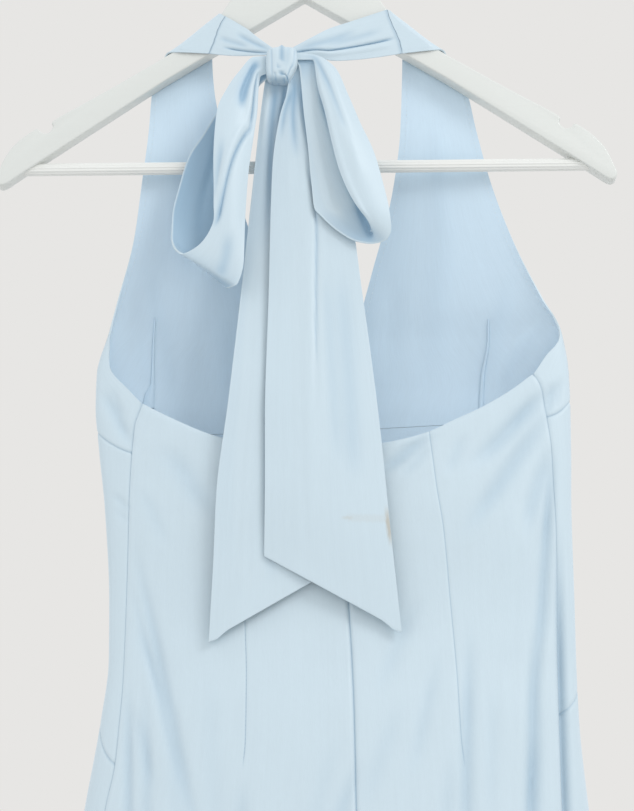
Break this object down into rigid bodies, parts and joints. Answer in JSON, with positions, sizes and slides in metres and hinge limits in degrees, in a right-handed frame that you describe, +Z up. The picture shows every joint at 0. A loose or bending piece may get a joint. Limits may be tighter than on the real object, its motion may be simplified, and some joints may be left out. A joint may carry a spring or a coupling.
{
  "type": "halter dress on hanger",
  "caption": "Pale blue satin halter-neck dress with a low scooped back and a tie bow at the nape, hanging on a white wooden hanger.",
  "frame": {"origin": "inside top of the hanger's hook, where a rail carries it", "axes": "+Z up, +X to the right as the back of the dress is seen, +Y through the dress from its back to its front"},
  "size_m": [0.5214, 0.1609, 1.5035],
  "materials": {
    "satin": "pale blue polyester satin, soft sheen, duller and bluer on its reverse",
    "tie_satin": "pale blue polyester satin, turned double, soft sheen",
    "zip_tape": "woven polyester tape with a nylon coil",
    "zip_enamel": "pale blue enamel",
    "white_wood": "white painted wood, satin",
    "hook_steel": "bright plated steel wire"
  },
  "bodies": {
    "dress": {"bodice_left": "satin", "bodice_right": "satin", "midriff_front": "satin", "skirt_front": "satin", "back_left": "satin", "back_right": "satin", "tie_band_left": "tie_satin", "tie_band_right": "tie_satin", "bow_knot": "tie_satin", "bow_loop_left": "tie_satin", "bow_loop_right": "tie_satin", "bow_tail_left": "tie_satin", "bow_tail_right": "tie_satin", "zip_tape": "zip_tape", "zip_slider": "zip_enamel", "hanger_body": "white_wood", "hanger_bar": "white_wood", "hanger_hook": "hook_steel"},
    "zip_pull": {"zip_pull": "zip_enamel"}
  },
  "joints": [
    {"name": "zip_pull_hinge", "type": "hinge", "parent": "dress", "child": "zip_pull", "pos_m": [0.02629, -0.01696, -0.457], "axis": [-1, 0, 0], "range_deg": [0, 15]}
  ]
}
